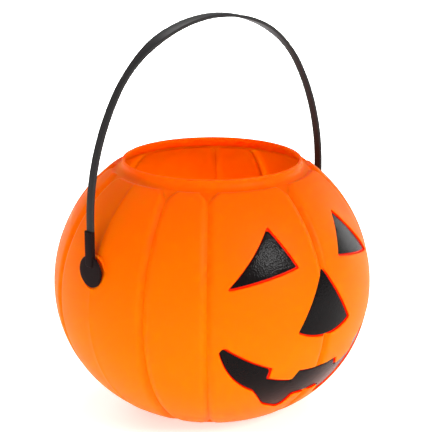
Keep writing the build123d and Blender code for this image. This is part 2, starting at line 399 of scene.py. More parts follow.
@dataclass(frozen=True)
class GrainedBlack:
    """Black plastic with a moulded grain that breaks up its soft grey sheen.

    The grain of the handle is finer than the render can show, so it is drawn coarser.
    """

    name: str
    colour: str
    light_colour: str
    grain_mm: float
    grain_height_mm: float
    roughness: Point
    glint: float
    cloud_mm: float
    ior: float = 1.5

    def make(self) -> bpy.types.Material:
        """Builds the material.

        Returns:
            The material, with its grain in real sizes.
        """
        material = new_material(self.name)
        tree = material.node_tree
        place_in = add_node(tree, "ShaderNodeTexCoord").outputs["Object"]
        cells = add_node(tree, "ShaderNodeTexVoronoi", {
            "Vector": place_in, "Scale": per_metre(self.grain_mm), "Smoothness": 0.6,
        }, feature="SMOOTH_F1")
        cloud = add_node(tree, "ShaderNodeTexNoise", {
            "Vector": place_in, "Scale": per_metre(self.cloud_mm), "Detail": 4.0, "Roughness": 0.6,
        })
        colour = add_node(tree, "ShaderNodeMix", {
            "Factor": cloud.outputs["Fac"], "A": linear(self.colour), "B": linear(self.light_colour),
        }, data_type="RGBA")
        gloss = add_node(tree, "ShaderNodeMapRange", {
            "Value": cloud.outputs["Fac"], "To Min": self.roughness[0], "To Max": self.roughness[1],
        })
        bump = add_node(tree, "ShaderNodeBump", {
            "Height": cells.outputs["Distance"], "Strength": 1.0, "Distance": self.grain_height_mm * MM,
        })
        set_shader(material, {
            "Base Color": colour.outputs["Result"], "Roughness": gloss.outputs["Result"],
            "Normal": bump.outputs["Normal"],
        }, {"IOR": self.ior, "Specular IOR Level": self.glint})
        return material


# The outside of the pail: a vivid satin orange, deepened towards the lip as painted shade
ORANGE = MouldedOrange()
# The floors of the recesses: a red painted for shade and for light through the wall round the black,
# a red line to the eye
PAINTED_RECESS_GLOW = MouldedOrange(
    name="orange polyethylene, with painted shade in a recess",
    colour="#FF2000", flow_colour="#F81A00", painted_shade_colour="#FC1D00",
)
# The inside: light that comes through the wall, an even warm glow, partly real soaking light and partly
# a lighter orange painted for it
PAINTED_LIGHT_THROUGH = MouldedOrange(
    name="orange polyethylene, lit through the wall",
    colour="#FF8000", flow_colour="#FF7800", painted_shade_colour="#FF7C00",
    soak_mm=12.0, soak_share=(1.0, 0.48, 0.04),
)
# The face: a leathery grain that sparkles in a soft sheen
FACE_BLACK = GrainedBlack(
    name="grained black film", colour="#070505", light_colour="#120E0E", grain_mm=0.9, grain_height_mm=0.13,
    roughness=(0.15, 0.22), glint=0.09, cloud_mm=2.7,
)
# The strap: a soft gleam along its length
STRAP_BLACK = GrainedBlack(
    name="black polypropylene, soft gloss", colour="#292727", light_colour="#312F2F", grain_mm=0.7,
    grain_height_mm=0.008, roughness=(0.28, 0.4), glint=0.07, cloud_mm=2.1,
)
# The ends: a duller, slightly warm black
END_BLACK = GrainedBlack(
    name="black polypropylene, satin", colour="#170E0E", light_colour="#1D1212", grain_mm=0.6,
    grain_height_mm=0.012, roughness=(0.42, 0.55), glint=0.05, cloud_mm=1.8,
)


@dataclass(frozen=True)
class Belly:
    """The pail's plain side: two arcs that are upright at the widest line. Sizes are in millimetres."""

    radius: float = 105.0
    height: float = 84.0
    foot_radius: float = 44.4
    top_height: float = 163.0
    top_radius: float = 64.6

    @property
    def lower_curve(self) -> float:
        """Radius of the arc below the widest line."""
        reach = self.radius - self.foot_radius
        return (reach**2 + self.height**2) / (2 * reach)

    @property
    def upper_curve(self) -> float:
        """Radius of the arc above the widest line."""
        reach = self.radius - self.top_radius
        return (reach**2 + (self.top_height - self.height) ** 2) / (2 * reach)

    @property
    def top_angle(self) -> float:
        """Angle of the lobes' tops above the widest line, in radians."""
        return math.asin((self.top_height - self.height) / self.upper_curve)

    @property
    def upper_length(self) -> float:
        """Way down the side from the lobes' tops to the widest line."""
        return self.top_angle * self.upper_curve

    @property
    def length(self) -> float:
        """Way down the side from the lobes' tops to the foot."""
        return self.upper_length + math.asin(self.height / self.lower_curve) * self.lower_curve

    def curve_at(self, height: np.ndarray) -> np.ndarray:
        """Radius of the arc that holds at a height."""
        return np.where(height < self.height, self.lower_curve, self.upper_curve)

    def radius_at(self, height: np.ndarray, inset: np.ndarray) -> np.ndarray:
        """Distance from the pail's axis to the side at a height, set in from the lobes' crowns."""
        curve = self.curve_at(height)
        return self.radius - curve + np.sqrt((curve - inset) ** 2 - (height - self.height) ** 2)

    def at(self, drop: np.ndarray, inset: np.ndarray) -> tuple[np.ndarray, np.ndarray]:
        """Finds a place on the side.

        Args:
            drop: way down the side from the lobes' tops.
            inset: depth below the lobes' crowns.

        Returns:
            Distance from the pail's axis, and height.
        """
        upper = np.asarray(drop) <= self.upper_length
        curve = np.where(upper, self.upper_curve, self.lower_curve)
        angle = (self.upper_length - drop) / curve
        return (
            self.radius - curve + (curve - inset) * np.cos(angle),
            self.height + (curve - inset) * np.sin(angle),
        )

    def drop_and_inset(self, radius: np.ndarray, height: np.ndarray) -> tuple[np.ndarray, np.ndarray]:
        """Finds the way down the side and the depth of a place, the other way round from at.

        Args:
            radius: distance from the pail's axis.
            height: height above the table.

        Returns:
            Way down from the lobes' tops, and depth below their crowns.
        """
        curve = self.curve_at(height)
        out = radius - (self.radius - curve)
        rise = height - self.height
        return self.upper_length - np.arctan2(rise, out) * curve, curve - np.hypot(out, rise)


@dataclass(frozen=True)
class Lobes:
    """The lobes and the grooves between them. Angles run round from the middle of the face, in degrees."""

    grooves: tuple[float, ...] = (0.0, 45.0, 67.5, 112.5, 135.0, 180.0, 225.0, 247.5, 292.5, 315.0)
    depth: float = 2.4
    vee_depth: float = 3.0
    half_width: float = 5.5
    step_width: float = 2.6
    notch_half_width: float = 5.5
    notch_length: float = 8.5
    notch_step: float = 2.6
    band: float = 7.0

    def stand(self, across: np.ndarray, drop: np.ndarray) -> np.ndarray:
        """Gives how far the lobes stand above the floor of the grooves and of the ledge over them.

        Args:
            across: distance from the middle of the nearest groove.
            drop: way down the side from the lobes' tops.

        Returns:
            Height above that floor.
        """
        share = np.clip(across / self.half_width, 0, 1)
        flank = (self.half_width**2 + self.vee_depth**2) / (2 * self.vee_depth)
        fall = flank - np.sqrt(flank**2 - (self.half_width * (1 - share)) ** 2)
        side = self.depth - np.minimum(self.depth, fall)
        slant = math.hypot(self.notch_length, self.notch_half_width)
        past = (across * self.notch_length + drop * self.notch_half_width) / slant
        past -= self.notch_length * self.notch_half_width / slant
        edges = [(drop, self.step_width), (past, self.notch_step)]
        steps = [self.depth * np.sin(np.clip(way / width, 0, 1) * math.pi / 2) for way, width in edges]
        return np.minimum.reduce([side, *steps])


@dataclass(frozen=True)
class Outline:
    """One closed outline of the face, front on, as points across and up in millimetres."""

    points: np.ndarray

    @staticmethod
    def soften(corners: list[tuple[Point, float]], spacing: float = 1.5, parts: int = 6) -> "Outline":
        """Rounds the corners of a closed line.

        Args:
            corners: points in order, each with its rounding, which is nought along a curve.
            spacing: longest piece of a straight run.
            parts: pieces of each rounded corner.

        Returns:
            The outline, counter-clockwise.
        """
        spots = np.array([point for point, _ in corners])
        made: list[np.ndarray] = []
        count = len(spots)
        lengths = np.hypot(*(np.roll(spots, -1, axis=0) - spots).T)
        ways = np.concatenate([[0.0], np.cumsum(lengths)])
        around = ways[-1]
        ring = np.vstack([spots, spots[:1]])

        def along(way: float) -> np.ndarray:
            """Point at a way along the closed line."""
            held = way % around
            return np.array([np.interp(held, ways, ring[:, axis]) for axis in (0, 1)])

        cuts = []
        for index, (_, rounding) in enumerate(corners):
            before = spots[index] - spots[index - 1]
            after = spots[(index + 1) % count] - spots[index]
            turn = abs(math.atan2(before[0] * after[1] - before[1] * after[0], before @ after))
            cuts.append(rounding * math.tan(turn / 2))
        for index in range(count):
            here, back = ways[index], cuts[index]
            if back > 0:
                start, corner, end = along(here - back), spots[index], along(here + back)
                for share in np.linspace(0, 1, parts + 1):
                    made.append((1 - share) ** 2 * start + 2 * share * (1 - share) * corner + share**2 * end)
            elif not any(
                abs((here - ways[other] + around / 2) % around - around / 2) < cuts[other]
                for other in range(count)
            ):
                made.append(spots[index])
        line = np.array(made)
        fine: list[np.ndarray] = []
        for here, there in zip(line, np.roll(line, -1, axis=0)):
            steps = max(1, math.ceil(np.hypot(*(there - here)) / spacing))
            fine.extend(here + (there - here) * step / steps for step in range(steps))
        points = np.array(fine)
        ahead = np.roll(points, -1, axis=0)
        if np.sum(points[:, 0] * ahead[:, 1] - ahead[:, 0] * points[:, 1]) < 0:
            points = points[::-1]
        return Outline(points)

    def grown(self, growth: float) -> "Outline":
        """The outline moved outwards by a growth, less the loops that a move inwards makes at corners."""
        moved = self.points + outward(self.points) * growth
        return Outline(moved[self.line_distance(moved) > UNLOOPED_SHARE * abs(growth)])

    def line_distance(self, spots: np.ndarray) -> np.ndarray:
        """Measures from spots to the outline's line.

        Args:
            spots: points across and up.

        Returns:
            A distance for each.
        """
        nearest = np.full(len(spots), np.inf)
        for start, end in zip(self.points, np.roll(self.points, -1, axis=0)):
            run = end - start
            share = np.clip(((spots - start) @ run) / max(run @ run, LEAST_SQUARE), 0, 1)
            nearest = np.minimum(nearest, np.hypot(*(spots - start - share[:, None] * run).T))
        return nearest

    def distance(self, spots: np.ndarray) -> np.ndarray:
        """Measures from spots to the outline's area.

        Args:
            spots: points across and up.

        Returns:
            A distance for each, nought inside the outline.
        """
        inside = np.zeros(len(spots), bool)
        for start, end in zip(self.points, np.roll(self.points, -1, axis=0)):
            if start[1] != end[1]:
                crosses = (start[1] > spots[:, 1]) != (end[1] > spots[:, 1])
                where = start[0] + (spots[:, 1] - start[1]) / (end[1] - start[1]) * (end[0] - start[0])
                inside ^= crosses & (spots[:, 0] < where)
        return np.where(inside, 0.0, self.line_distance(spots))


def spot_key(spot: np.ndarray) -> tuple[float, ...]:
    """Key by which a spot of a plate's edge is found again."""
    return tuple(np.round(spot, SPOT_DIGITS))


def outward(points: np.ndarray) -> np.ndarray:
    """Finds the outward directions of a loop.

    Args:
        points: a counter-clockwise loop of points.

    Returns:
        A direction for each point, lengthened at the bends.
    """
    before = points - np.roll(points, 1, axis=0)
    after = np.roll(points, -1, axis=0) - points
    sides = [
        np.stack([run[:, 1], -run[:, 0]], axis=1) / np.hypot(*run.T)[:, None] for run in (before, after)
    ]
    middle = sides[0] + sides[1]
    return 2 * middle / np.sum(middle * middle, axis=1)[:, None]


@dataclass(frozen=True)
class Level:
    """One level of a face plate: its growth from the first level, and its depth below the lobes' crowns."""

    growth: float
    inset: float


@dataclass
class Face:
    """The jack-o'-lantern face: outlines, the recesses cut for them and the black fills."""

    belly: Belly
    recess_depth: float = 1.6
    lip_depth: float = 0.4
    fill_margin: float = 1.0
    fill_thickness: float = 0.5
    fill_crease: float = 50.0
    grid: float = 3.0
    # Growth and rise of the fillet at a recess's floor, then growth and depth of its rounded lip
    floor_fillet: tuple[Point, ...] = ((0.0, 0.0), (0.18, 0.07), (0.25, 0.25))
    lip_levels: tuple[Point, ...] = (
        (0.25, 0.8), (0.33, 0.48), (0.56, 0.22), (0.9, 0.06), (1.3, 0.0), (1.7, -0.09), (1.7, -5.0),
    )
    # Growth and sink of a fill's soft edge
    fill_edge: tuple[Point, ...] = ((0.0, 0.0), (0.14, 0.05), (0.2, 0.2))
    # Corners of an eye: across, up and rounding
    eye_corners: tuple[tuple[float, float, float], ...] = (
        (17.6, 118.8, 1.2), (28.5, 143.6, 1.0), (63.2, 109.4, 1.2),
    )
    nose_half_width: float = 23.2
    nose_corner_height: float = 79.0
    nose_sag: float = 6.0
    nose_top_height: float = 117.0
    nose_rounding: float = 1.4
    nose_parts: int = 24
    # The mouth: the upper lip is an arc, and depths run down from it, away from the arc's centre
    smile_height: float = 150.7
    smile_radius: float = 100.0
    smile_end: float = 65.9
    smile_end_rounding: float = 2.2
    tooth_inner: float = 16.6
    tooth_corner: float = 20.0
    tooth_outer: float = 37.0
    tooth_length: float = 7.0
    tooth_rounding: float = 1.4
    tooth_side_rounding: float = 1.0
    # Depth and place across of the cheek's three points, and of the chin's two, with their roundings
    cheek: tuple[Point, ...] = ((4.4, 68.0), (13.3, 59.6), (17.9, 43.4))
    cheek_rounding: float = 7.0
    chin: tuple[tuple[float, float, float], ...] = ((27.1, 31.0, 16.0), (31.3, 14.2, 5.0))
    lower_tooth_depth: float = 20.0
    lower_tooth_half_width: float = 11.6
    outlines: dict[str, Outline] = field(default_factory=dict)

    def __post_init__(self) -> None:
        """Draws the outlines."""
        self.outlines = {
            "left_eye": self.eye(-1),
            "right_eye": self.eye(1),
            "nose": self.nose(),
            "mouth": self.mouth(),
        }

    def eye(self, side: int) -> Outline:
        """Draws one eye, a leaning triangle, on the side that a sign gives."""
        return Outline.soften([((side * across, up), rounding) for across, up, rounding in self.eye_corners])

    def nose(self) -> Outline:
        """Draws the nose.

        Returns:
            A tall triangle on a sagging base.
        """
        half, corner, soft = self.nose_half_width, self.nose_corner_height, self.nose_rounding
        curve = (half**2 + self.nose_sag**2) / (2 * self.nose_sag)
        middle = corner - self.nose_sag + curve
        base = [
            ((x, middle - math.sqrt(curve**2 - x**2)), 0.0)
            for x in np.linspace(-half, half, self.nose_parts + 1)[1:-1]
        ]
        top = ((0.0, self.nose_top_height), soft)
        return Outline.soften([((-half, corner), soft), *base, ((half, corner), soft), top])

    def smile(self, depth: float, across: float) -> Point:
        """Point of the mouth at a depth below the arc of the upper lip."""
        return across, self.smile_height - math.sqrt((self.smile_radius + depth) ** 2 - across**2)

    def smile_run(self, depth: float, start: float, end: float, steps: int) -> list[tuple[Point, float]]:
        """Points between two places on an arc of the mouth."""
        return [(self.smile(depth, x), 0.0) for x in np.linspace(start, end, steps + 1)[1:-1]]

    def mouth(self) -> Outline:
        """Draws the grin, half of it and then its mirror. The last number of a run is its steps.

        Returns:
            The outline, round two upper teeth and one lower tooth.
        """
        cheek = [self.smile(*spot) for spot in self.cheek]
        length, side, low = self.tooth_length, self.tooth_side_rounding, self.lower_tooth_depth
        half = [
            *self.smile_run(0, 0, self.tooth_inner, 8),
            (self.smile(0, self.tooth_inner), self.tooth_rounding),
            (self.smile(length, self.tooth_corner), self.tooth_rounding),
            *self.smile_run(length, self.tooth_corner, self.tooth_outer, 9),
            (self.smile(length, self.tooth_outer), side),
            (self.smile(0, self.tooth_outer), side),
            *self.smile_run(0, self.tooth_outer, self.smile_end, 16),
            (self.smile(0, self.smile_end), self.smile_end_rounding),
            (cheek[0], self.smile_end_rounding),
            *[(tuple(spot), 0.0) for spot in circle_through(*cheek, 14)],
            (cheek[2], self.cheek_rounding),
            *[(self.smile(depth, across), rounding) for depth, across, rounding in self.chin],
            (self.smile(low, self.lower_tooth_half_width), self.tooth_rounding),
            *self.smile_run(low, self.lower_tooth_half_width, 0, 6),
        ]
        other_half = [((-x, z), rounding) for (x, z), rounding in reversed(half)]
        return Outline.soften([(self.smile(0, 0), 0.0), *half, (self.smile(low, 0), 0.0), *other_half])

    def plate(self, name: str, outline: Outline, levels: list[Level]) -> bpy.types.Object:
        """Builds a closed plate in an outline's shape that follows the belly.

        Args:
            name: the object's name.
            outline: the shape of the first level.
            levels: levels in order, the first one at no growth.

        Returns:
            The plate, still with no material.
        """
        deselect()
        bpy.ops.mesh.primitive_circle_add(vertices=len(outline.points), radius=MM, fill_type="NGON")
        plate = bpy.context.object
        plate.name = name
        flat = np.insert(outline.points, 1, levels[0].inset, axis=1)
        place(plate, flat)
        edit(plate)
        bpy.ops.mesh.quads_convert_to_tris(ngon_method="BEAUTY")
        for axis in (0, 1):
            normal = (1, 0, 0) if axis == 0 else (0, 0, 1)
            low, high = outline.points[:, axis].min(), outline.points[:, axis].max()
            for line in np.arange(math.ceil(low / self.grid) * self.grid, high, self.grid):
                bpy.ops.mesh.select_all(action="SELECT")
                bpy.ops.mesh.bisect(plane_co=[line * MM * part for part in normal], plane_no=normal)
        bpy.ops.mesh.select_all(action="SELECT")
        bpy.ops.mesh.remove_doubles(threshold=MERGE_DISTANCE)
        bpy.ops.object.mode_set(mode="OBJECT")
        edge_spots = self.loop(plate)
        directions = outward(edge_spots)
        known = {spot_key(spot): number for number, spot in enumerate(edge_spots)}
        edit(plate)
        for level in levels[1:]:
            extrude_up()
            bpy.ops.object.mode_set(mode="OBJECT")
            places = coordinates(plate)
            moved = {}
            for vertex in plate.data.vertices:
                if vertex.select:
                    here = places[vertex.index]
                    number = known.get(spot_key(here[[0, 2]]))
                    if number is not None:
                        here[[0, 2]] = edge_spots[number] + directions[number] * level.growth
                        moved[spot_key(here[[0, 2]])] = number
                    here[1] = level.inset
            known = moved
            place(plate, places)
            bpy.ops.object.mode_set(mode="EDIT")
        bpy.ops.object.mode_set(mode="OBJECT")
        places = coordinates(plate)
        self.mark_levels(plate, places)
        reach = self.belly.radius_at(places[:, 2], places[:, 1])
        places[:, 1] = -np.sqrt(reach**2 - places[:, 0] ** 2)
        place(plate, places)
        close_up(plate)
        return plate

    @staticmethod
    def loop(plate: bpy.types.Object) -> np.ndarray:
        """Follows the edge of a flat plate.

        Args:
            plate: the plate, out of edit mode.

        Returns:
            Points across and up, counter-clockwise.
        """
        uses: dict[tuple[int, int], int] = {}
        for polygon in plate.data.polygons:
            for key in polygon.edge_keys:
                uses[key] = uses.get(key, 0) + 1
        after: dict[int, list[int]] = {}
        for first, second in (key for key, count in uses.items() if count == 1):
            after.setdefault(first, []).append(second)
            after.setdefault(second, []).append(first)
        start = next(iter(after))
        order = [start, after[start][0]]
        while order[-1] != start:
            nearby = after[order[-1]]
            order.append(nearby[0] if nearby[0] != order[-2] else nearby[1])
        spots = coordinates(plate)[order[:-1]][:, [0, 2]]
        ahead = np.roll(spots, -1, axis=0)
        turn = np.sum(spots[:, 0] * ahead[:, 1] - ahead[:, 0] * spots[:, 1])
        return spots if turn > 0 else spots[::-1]

    def mark_levels(self, plate: bpy.types.Object, places: np.ndarray) -> None:
        """Marks a plate's faces as the lip or the floor of a recess by their depth.

        Args:
            plate: the plate.
            places: its vertices, with their depth for their second number.
        """
        for polygon in plate.data.polygons:
            depth = np.mean([places[index][1] for index in polygon.vertices])
            # Floor faces get the deep red that is painted shade in the recess
            floor = depth > self.lip_depth
            polygon.material_index = (ShellFace.RECESS_FLOOR if floor else ShellFace.RECESS_LIP).value

    def cutter(self, name: str) -> bpy.types.Object:
        """Builds the tool that cuts one recess, with a rounded lip and a small fillet at its floor.

        Args:
            name: the recess's outline.

        Returns:
            The closed tool.
        """
        levels = [Level(growth, self.recess_depth - rise) for growth, rise in self.floor_fillet]
        levels += [Level(*level) for level in self.lip_levels]
        return self.plate(f"{name}_tool", self.outlines[name].grown(-self.floor_fillet[-1][0]), levels)

    def fill(self, name: str, finish: bpy.types.Material) -> bpy.types.Object:
        """Builds one black fill with softened edges and dresses it.

        Args:
            name: the recess's outline.
            finish: the black.

        Returns:
            The finished fill.
        """
        soft = self.fill_edge[-1][0]
        top = self.recess_depth - self.fill_thickness
        levels = [Level(growth, top + sink) for growth, sink in self.fill_edge]
        levels.append(Level(soft, self.recess_depth))
        piece = self.plate(f"{name}_fill", self.outlines[name].grown(-self.fill_margin - soft), levels)
        for polygon in piece.data.polygons:
            polygon.material_index = 0
        piece.data.materials.append(finish)
        smooth(piece, self.fill_crease)
        finish_piece(piece, Body.PAIL, f"{name}_inlay")
        return piece


def circle_through(first: Point, second: Point, third: Point, steps: int) -> list[Point]:
    """Runs round the circle through three points.

    Args:
        first: where the run starts.
        second: a point on its way.
        third: where it ends.
        steps: pieces of the run.

    Returns:
        The points between its ends.
    """
    (ax, ay), (bx, by), (cx, cy) = first, second, third
    twice = 2 * (ax * (by - cy) + bx * (cy - ay) + cx * (ay - by))
    squares = [x**2 + y**2 for x, y in (first, second, third)]
    across = (squares[0] * (by - cy) + squares[1] * (cy - ay) + squares[2] * (ay - by)) / twice
    up = (squares[0] * (cx - bx) + squares[1] * (ax - cx) + squares[2] * (bx - ax)) / twice
    radius = math.hypot(ax - across, ay - up)
    angles = [math.atan2(y - up, x - across) for x, y in (first, second, third)]
    sweep = (angles[2] - angles[0]) % (2 * math.pi)
    if (angles[1] - angles[0]) % (2 * math.pi) > sweep:
        sweep -= 2 * math.pi
    turns = [angles[0] + sweep * step / steps for step in range(1, steps)]
    return [(across + radius * math.cos(turn), up + radius * math.sin(turn)) for turn in turns]


@dataclass
class Pivot:
    """The handle's pivots, as places along X out from the pail's axis and radii. Millimetres."""

    belly: Belly
    height: float = 112.7
    boss_radius: float = 9.8
    boss_sink: float = 0.8
    boss_thickness: float = 2.5
    boss_rim: float = 0.5
    boss_nick: float = 0.15
    spot_face_radius: float = 8.0
    snap_face_radius: float = 6.4
    seat_radius: float = 11.2
    peg_radius: float = 4.0
    running_gap: float = 0.05
    end_gap: float = 0.3
    shoulder_radius: float = 7.0
    shoulder_length: float = 2.3
    disc_radius: float = 10.2
    disc_thickness: float = 1.4
    disc_rounding: float = 0.8
    disc_rim_parts: int = 5
    disc_ring_share: float = 0.5
    snap_head_radius: float = 5.0
    snap_head_length: float = 3.6
    snap_tip_radius: float = 3.4
    snap_slit: float = 1.8
    strap_set: float = 0.3
    tool_reach: float = 8.0

    @property
    def boss_face(self) -> float:
        """Outer face of the boss."""
        return float(self.belly.radius_at(np.array(self.height), np.array(0.0))) - self.boss_sink

    @property
    def boss_inner(self) -> float:
        """Inner face of the boss."""
        return self.boss_face - self.boss_thickness

    @property
    def disc_inner(self) -> float:
        """Inner face of the button disc."""
        return self.boss_face + self.end_gap + self.shoulder_length

    @property
    def strap_middle(self) -> float:
        """Middle of the strap's thickness."""
        return self.disc_inner - self.strap_set

    def turned(self, name: str, profile: list[Point], steps: int = 64) -> bpy.types.Object:
        """Turns a profile about the right pivot's axis.

        Args:
            name: the object's name.
            profile: places along X and radii, from the axis to the axis.
            steps: faces round the axis.

        Returns:
            The closed turned form.
        """
        chain = [Vector((x, 0, self.height + radius)) for x, radius in profile]
        form = draw_chain(name, chain)
        bpy.ops.mesh.spin(
            steps=steps, angle=2 * math.pi, center=(0, 0, self.height * MM), axis=(1, 0, 0)
        )
        close_up(form)
        return form

    def boss(self) -> bpy.types.Object:
        """Builds the right boss.

        Returns:
            The closed boss, with a rounded inner rim.
        """
        inner, radius = self.boss_inner, self.boss_radius
        return self.turned("boss", [
            (inner, 0), (inner, radius - self.boss_rim), (inner + self.boss_nick, radius - self.boss_nick),
            (inner + self.boss_rim, radius), (self.boss_face, radius), (self.boss_face, 0),
        ])

    def clearance(self) -> bpy.types.Object:
        """Builds the tool that clears room for the button, its shoulder, peg and snap head.

        Returns:
            The closed tool.
        """
        deep = self.boss_inner - self.tool_reach
        seat = self.disc_inner - self.end_gap
        past = seat + self.tool_reach
        hole = self.peg_radius + self.running_gap
        return self.turned("clearance", [
            (deep, 0), (deep, self.snap_face_radius), (self.boss_inner, self.snap_face_radius),
            (self.boss_inner, hole), (self.boss_face, hole), (self.boss_face, self.spot_face_radius),
            (seat, self.spot_face_radius), (seat, self.seat_radius), (past, self.seat_radius), (past, 0),
        ])

    def button(self) -> bpy.types.Object:
        """Builds the right button disc with its shoulder, peg and snap head.

        Returns:
            The closed button.
        """
        face = self.disc_inner + self.disc_thickness
        soft = self.disc_rounding
        rim = [
            (face - soft * (1 - math.cos(turn)), self.disc_radius - soft * (1 - math.sin(turn)))
            for turn in np.linspace(0, math.pi / 2, self.disc_rim_parts + 1)
        ]
        shoulder = self.boss_face + self.end_gap
        snap = self.boss_inner - self.end_gap
        tip = snap - self.snap_head_length
        return self.turned("button", [
            (face, 0), (face, self.disc_radius * self.disc_ring_share), *rim,
            (self.disc_inner, self.disc_radius), (self.disc_inner, self.shoulder_radius),
            (shoulder, self.shoulder_radius), (shoulder, self.peg_radius), (snap, self.peg_radius),
            (snap, self.snap_head_radius), (tip, self.snap_tip_radius), (tip, 0),
        ])


def mirrored(obj: bpy.types.Object, name: str) -> bpy.types.Object:
    """Copies an object to the other side of the plane between the pivots.

    Args:
        obj: the object.
        name: the copy's name.

    Returns:
        The copy, with a mesh of its own.
    """
    activate(obj)
    bpy.ops.object.duplicate()
    copy = bpy.context.object
    copy.name = name
    edit(copy)
    bpy.ops.transform.resize(value=(-1, 1, 1), center_override=(0, 0, 0))
    bpy.ops.mesh.flip_normals()
    bpy.ops.object.mode_set(mode="OBJECT")
    return copy


@dataclass
class PailShell:
    """The orange pail: lobes, grooves, ledge, lip, floor, the recesses of the face and the pivot bosses."""

    belly: Belly
    lobes: Lobes
    face: Face
    pivot: Pivot
    wall: float = 1.6
    lip_radius: float = 57.9
    lip_height: float = 167.0
    bead_radius: float = 0.95
    bead_start: float = -25.0
    bead_parts: int = 10
    collar_pull: Point = (58.2, 162.4)
    neck_pull_height: float = 163.5
    neck_height: float = 160.5
    curve_parts: int = 8
    inner_ease: float = 7.0
    # The hollow under the base and the foot ring: distances from the axis and heights
    foot: tuple[Point, ...] = (
        (0, 3.0), (12, 3.0), (24, 3.0), (33, 3.0), (35.5, 3.0), (36.2, 2.7), (36.4, 2.0), (36.4, 1.2),
        (36.75, 0.35), (37.6, 0.0), (40.5, 0.0), (43.0, 0.0),
    )
    foot_fade: float = 6.0
    # Ways down to the rows near the lobes' tops, which lie closer together than those further down
    top_start: float = 10.0
    top_drops: tuple[float, ...] = (
        9.2, 8.4, 7.6, 6.8, 6.0, 5.2, 4.5, 3.8, 3.1, 2.5, 2.0, 1.5, 1.1, 0.75, 0.45, 0.2, 0.06, 0.0,
    )
    inner_top_drops: tuple[float, ...] = (0.0, 0.2, 0.6, 1.2, 2.2, 3.5, 5.5, 8.0)
    inner_top_end: float = 11.0
    floor_height: float = 4.6
    fillet_height: float = 2.2
    fillet_limit: float = 2.1
    # The floor's fillet: steps in from the foot of the wall and rises above the floor, then plain rings
    fillet_run: tuple[Point, ...] = ((2.2, 0.8), (5.5, 0.1), (9.0, 0.0))
    floor_rings: tuple[float, ...] = (24.0, 12.0, 0.0)
    seam_turns: Point = (90.0, 270.0)
    seam_half_width: float = 0.45
    seam_rise: float = 0.14
    pad_near: float = 0.9
    pad_far: float = 3.4
    row: float = 2.0
    inner_row: float = 3.6
    band_steps: int = 7
    face_steps: int = 44
    wide_lobe: float = 22.5
    wide_steps: int = 16
    narrow_steps: int = 8
    crease: float = 38.0

    def profile(self) -> list[Point]:
        """Draws the pail's section, up the outside and down the inside.

        Returns:
            Distances from the axis and heights, with the lobes at their crowns.
        """
        count = round((self.belly.length - self.top_start) / self.row)
        drops = [*np.linspace(self.belly.length, self.top_start, count), *self.top_drops]
        outside = [self.side_spot(drop, 0.0) for drop in drops]
        half = self.bead_radius
        lip = [
            (self.lip_radius + half * math.cos(turn), self.lip_height + half * math.sin(turn))
            for turn in np.linspace(math.radians(self.bead_start), math.pi, self.bead_parts + 1)
        ]
        ledge = self.side_spot(0.0, self.lobes.depth)
        collar = bezier(ledge, self.collar_pull, lip[0], self.curve_parts)[1:-1]
        inner_ledge = self.side_spot(0.0, self.lobes.depth + self.wall)
        neck_pull = (self.lip_radius - half, self.neck_pull_height)
        neck = bezier(lip[-1], neck_pull, inner_ledge, self.curve_parts)[1:-1]
        floor_drop = self.floor_drop()
        count = round((floor_drop - self.inner_top_end) / self.inner_row)
        inner_drops = [*self.inner_top_drops, *np.linspace(self.inner_top_end, floor_drop, count)]
        inside = [self.side_spot(drop, self.wall) for drop in inner_drops]
        corner = inside[-1][0]
        floor = [(corner - step, self.floor_height + rise) for step, rise in self.fillet_run]
        floor += [(ring, self.floor_height) for ring in self.floor_rings]
        return [*self.foot, *outside, *collar, *lip, *neck, *inside, *floor]

    def side_spot(self, drop: float, inset: float) -> Point:
        """Distance from the axis and height of one spot on the side."""
        return tuple(map(float, self.belly.at(drop, inset)))

    def floor_drop(self) -> float:
        """Finds where the floor's fillet starts.

        Returns:
            The way down the inside.
        """
        rise = self.belly.height - self.floor_height - self.fillet_height
        angle = math.asin(rise / (self.belly.lower_curve - self.wall))
        return self.belly.upper_length + angle * self.belly.lower_curve

    def band_angle(self) -> float:
        """Half the angle of a groove's band at the widest line, in degrees."""
        return math.degrees(math.asin(self.lobes.band / self.belly.radius))

    def spin(self) -> bpy.types.Object:
        """Spins the section round the axis, with more columns at the grooves, the face and the seams.

        Returns:
            The closed form, still without its grooves.
        """
        chain = [Vector((0, -radius, height)) for radius, height in self.profile()]
        shell = draw_chain("moulded_shell", chain)
        band = self.band_angle()
        seam = math.degrees(self.seam_half_width / self.belly.radius)
        ends = [*self.lobes.grooves[1:], 360.0]
        for start, end in zip(self.lobes.grooves, ends):
            width = end - start - 2 * band
            if start == 0 or end == 360:
                lobe = [(self.face_steps, width)]
            elif (start + end) / 2 in self.seam_turns:
                part = (width - 2 * seam) / 2
                lobe = [(self.wide_steps // 2, part), (2, 2 * seam), (self.wide_steps // 2, part)]
            elif width > self.wide_lobe:
                lobe = [(self.wide_steps, width)]
            else:
                lobe = [(self.narrow_steps, width)]
            side = (self.band_steps, band)
            for steps, angle in [side, *lobe, side]:
                bpy.ops.mesh.spin(
                    steps=steps, angle=math.radians(angle), center=(0, 0, 0), axis=(0, 0, 1)
                )
        close_up(shell)
        return shell

